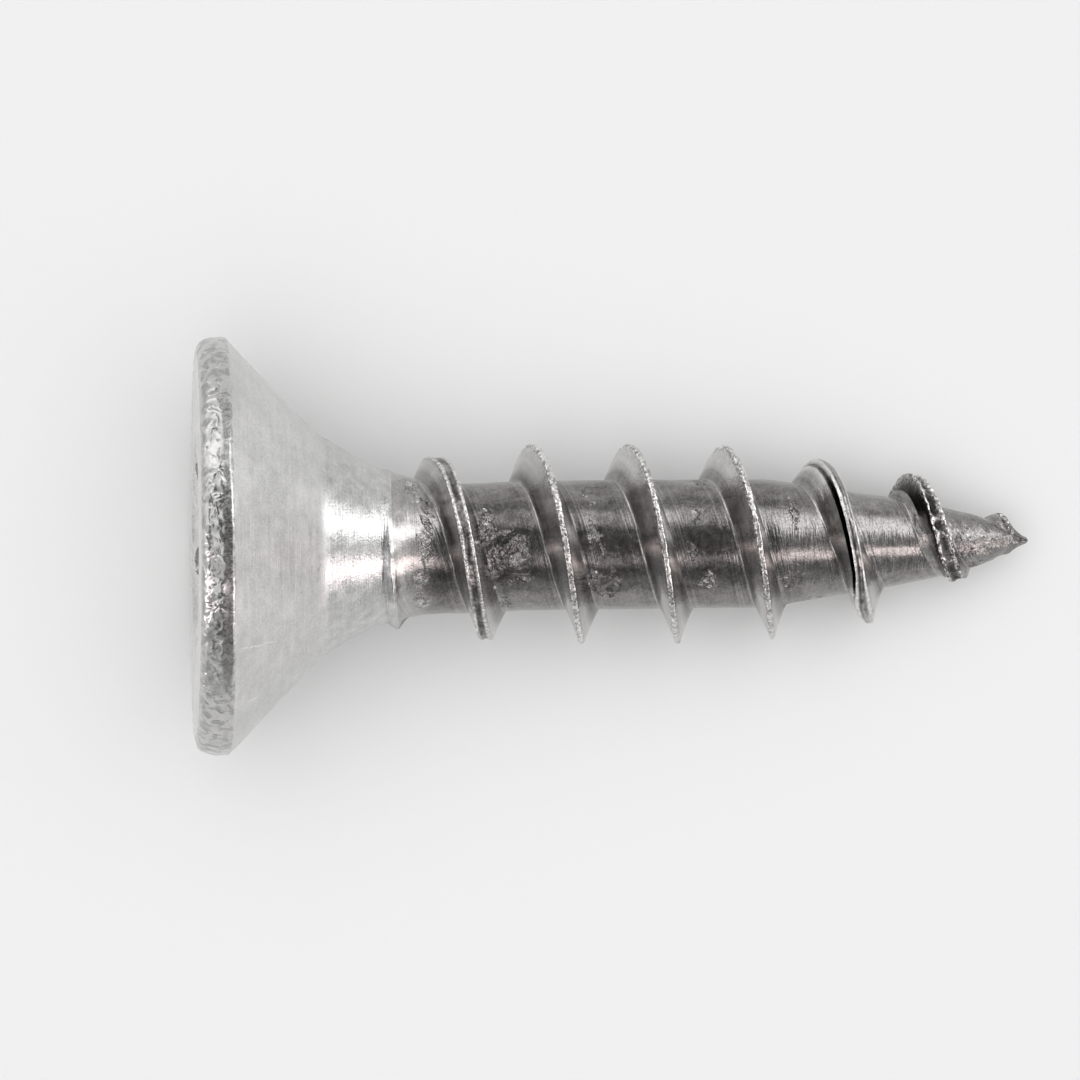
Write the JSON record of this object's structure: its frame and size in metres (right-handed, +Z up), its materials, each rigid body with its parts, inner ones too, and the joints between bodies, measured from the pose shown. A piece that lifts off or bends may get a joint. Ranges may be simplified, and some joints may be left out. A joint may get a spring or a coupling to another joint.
{
  "type": "chipboard screw",
  "caption": "Countersunk chipboard screw of bare stainless steel, lying at rest: lobed drive recess, stepped neck, coarse thread along the whole shank and a sharp point.",
  "frame": {"origin": "middle of the lying screw's bounding box, on the surface it rests on", "axes": "+X runs from the head to the point, +Z is up, and the screw's own axis lies in the XZ plane, its point dipping 10.9 degrees"},
  "size_m": [0.0164, 0.008, 0.0079],
  "materials": {
    "steel": "bare cold-formed stainless steel, satin, with rolling marks"
  },
  "bodies": {
    "root": {"screw": "steel"}
  },
  "joints": []
}
